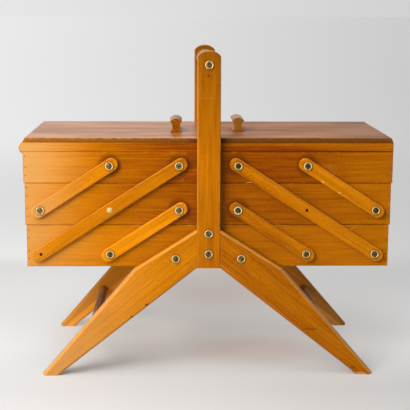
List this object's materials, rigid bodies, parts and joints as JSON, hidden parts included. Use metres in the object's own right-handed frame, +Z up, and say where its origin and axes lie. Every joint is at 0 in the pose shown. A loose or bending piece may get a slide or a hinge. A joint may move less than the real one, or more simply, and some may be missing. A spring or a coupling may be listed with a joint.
{
  "type": "cantilever sewing box",
  "caption": "Wooden cantilever sewing carrier on splayed legs, with tiers of trays that swing out on arms, hinged lids with pulls, and a round bar handle between two posts.",
  "frame": {"origin": "on the floor, in the middle of the carrier", "axes": "+X along the box to the right, +Y from the front face to the back, +Z up"},
  "size_m": [0.5103, 0.2614, 0.4445],
  "materials": {
    "varnished_beech": "honey varnish, satin to gloss",
    "mahogany_ply": "reddish brown, polished",
    "plywood": "bare birch ply",
    "dark_dowel": "dark stained",
    "brass": "tarnished",
    "screw_steel": "bronzed steel"
  },
  "bodies": {
    "base": {"front_post": "varnished_beech", "back_post": "varnished_beech", "handle_bar": "varnished_beech", "front_left_leg": "varnished_beech", "front_right_leg": "varnished_beech", "back_left_leg": "varnished_beech", "back_right_leg": "varnished_beech", "leg_stretchers": "dark_dowel", "bottom_tray_front": "varnished_beech", "bottom_tray_back": "varnished_beech", "bottom_tray_ends": "varnished_beech", "bottom_tray_floor": "plywood", "base_screws": "screw_steel", "base_cups": "brass"},
    "left_middle_tray": {"left_middle_tray_front": "varnished_beech", "left_middle_tray_back": "varnished_beech", "left_middle_tray_ends": "varnished_beech", "left_middle_tray_floor": "plywood", "left_middle_tray_pivots": "screw_steel", "left_middle_tray_cups": "brass"},
    "left_top_tray": {"left_top_tray_front": "varnished_beech", "left_top_tray_back": "varnished_beech", "left_top_tray_ends": "varnished_beech", "left_top_tray_floor": "plywood", "left_top_tray_pivots": "screw_steel", "left_top_tray_cups": "brass", "left_hinge_tray_leaves": "brass"},
    "left_long_arms": {"left_front_long_arm": "varnished_beech", "left_back_long_arm": "varnished_beech"},
    "left_lower_arms": {"left_front_lower_arm": "varnished_beech", "left_back_lower_arm": "varnished_beech"},
    "left_upper_arms": {"left_front_upper_arm": "varnished_beech", "left_back_upper_arm": "varnished_beech"},
    "left_lid": {"left_lid_panel": "mahogany_ply", "left_lid_rails": "varnished_beech", "left_lid_pull": "varnished_beech", "left_hinge_lid_leaves": "brass"},
    "right_middle_tray": {"right_middle_tray_front": "varnished_beech", "right_middle_tray_back": "varnished_beech", "right_middle_tray_ends": "varnished_beech", "right_middle_tray_floor": "plywood", "right_middle_tray_pivots": "screw_steel", "right_middle_tray_cups": "brass"},
    "right_top_tray": {"right_top_tray_front": "varnished_beech", "right_top_tray_back": "varnished_beech", "right_top_tray_ends": "varnished_beech", "right_top_tray_floor": "plywood", "right_top_tray_pivots": "screw_steel", "right_top_tray_cups": "brass", "right_hinge_tray_leaves": "brass"},
    "right_long_arms": {"right_front_long_arm": "varnished_beech", "right_back_long_arm": "varnished_beech"},
    "right_lower_arms": {"right_front_lower_arm": "varnished_beech", "right_back_lower_arm": "varnished_beech"},
    "right_upper_arms": {"right_front_upper_arm": "varnished_beech", "right_back_upper_arm": "varnished_beech"},
    "right_lid": {"right_lid_panel": "mahogany_ply", "right_lid_rails": "varnished_beech", "right_lid_pull": "varnished_beech", "right_hinge_lid_leaves": "brass"}
  },
  "joints": [
    {"name": "left_tray_swing", "type": "hinge", "parent": "base", "child": "left_long_arms", "pos_m": [-0.2275, 0, 0.169], "axis": [0, -1, 0], "range_deg": [0, 114]},
    {"name": "left_middle_tray_level", "type": "hinge", "parent": "left_long_arms", "child": "left_middle_tray", "pos_m": [-0.13375, 0, 0.2296], "axis": [0, 1, 0], "range_deg": [0, 114]},
    {"name": "left_top_tray_level", "type": "hinge", "parent": "left_long_arms", "child": "left_top_tray", "pos_m": [-0.04, 0, 0.2902], "axis": [0, 1, 0], "range_deg": [0, 114]},
    {"name": "left_lower_arm_swing", "type": "hinge", "parent": "base", "child": "left_lower_arms", "pos_m": [-0.13375, 0, 0.169], "axis": [0, -1, 0], "range_deg": [0, 114]},
    {"name": "left_upper_arm_swing", "type": "hinge", "parent": "left_middle_tray", "child": "left_upper_arms", "pos_m": [-0.2275, 0, 0.2296], "axis": [0, -1, 0], "range_deg": [0, 114]},
    {"name": "left_lid_hinge", "type": "hinge", "parent": "left_top_tray", "child": "left_lid", "pos_m": [-0.25265, 0, 0.30361], "axis": [0, -1, 0], "range_deg": [0, 170]},
    {"name": "right_tray_swing", "type": "hinge", "parent": "base", "child": "right_long_arms", "pos_m": [0.2275, 0, 0.169], "axis": [0, 1, 0], "range_deg": [0, 114]},
    {"name": "right_middle_tray_level", "type": "hinge", "parent": "right_long_arms", "child": "right_middle_tray", "pos_m": [0.13375, 0, 0.2296], "axis": [0, -1, 0], "range_deg": [0, 114]},
    {"name": "right_top_tray_level", "type": "hinge", "parent": "right_long_arms", "child": "right_top_tray", "pos_m": [0.04, 0, 0.2902], "axis": [0, -1, 0], "range_deg": [0, 114]},
    {"name": "right_lower_arm_swing", "type": "hinge", "parent": "base", "child": "right_lower_arms", "pos_m": [0.13375, 0, 0.169], "axis": [0, 1, 0], "range_deg": [0, 114]},
    {"name": "right_upper_arm_swing", "type": "hinge", "parent": "right_middle_tray", "child": "right_upper_arms", "pos_m": [0.2275, 0, 0.2296], "axis": [0, 1, 0], "range_deg": [0, 114]},
    {"name": "right_lid_hinge", "type": "hinge", "parent": "right_top_tray", "child": "right_lid", "pos_m": [0.25265, 0, 0.30915], "axis": [0, 1, 0], "range_deg": [0, 170]}
  ],
  "couplings": [
    {"joint": "left_middle_tray_level", "follows": "left_tray_swing", "ratio": 1},
    {"joint": "left_top_tray_level", "follows": "left_tray_swing", "ratio": 1},
    {"joint": "left_lower_arm_swing", "follows": "left_tray_swing", "ratio": 1},
    {"joint": "left_upper_arm_swing", "follows": "left_tray_swing", "ratio": 1},
    {"joint": "right_middle_tray_level", "follows": "right_tray_swing", "ratio": 1},
    {"joint": "right_top_tray_level", "follows": "right_tray_swing", "ratio": 1},
    {"joint": "right_lower_arm_swing", "follows": "right_tray_swing", "ratio": 1},
    {"joint": "right_upper_arm_swing", "follows": "right_tray_swing", "ratio": 1}
  ]
}
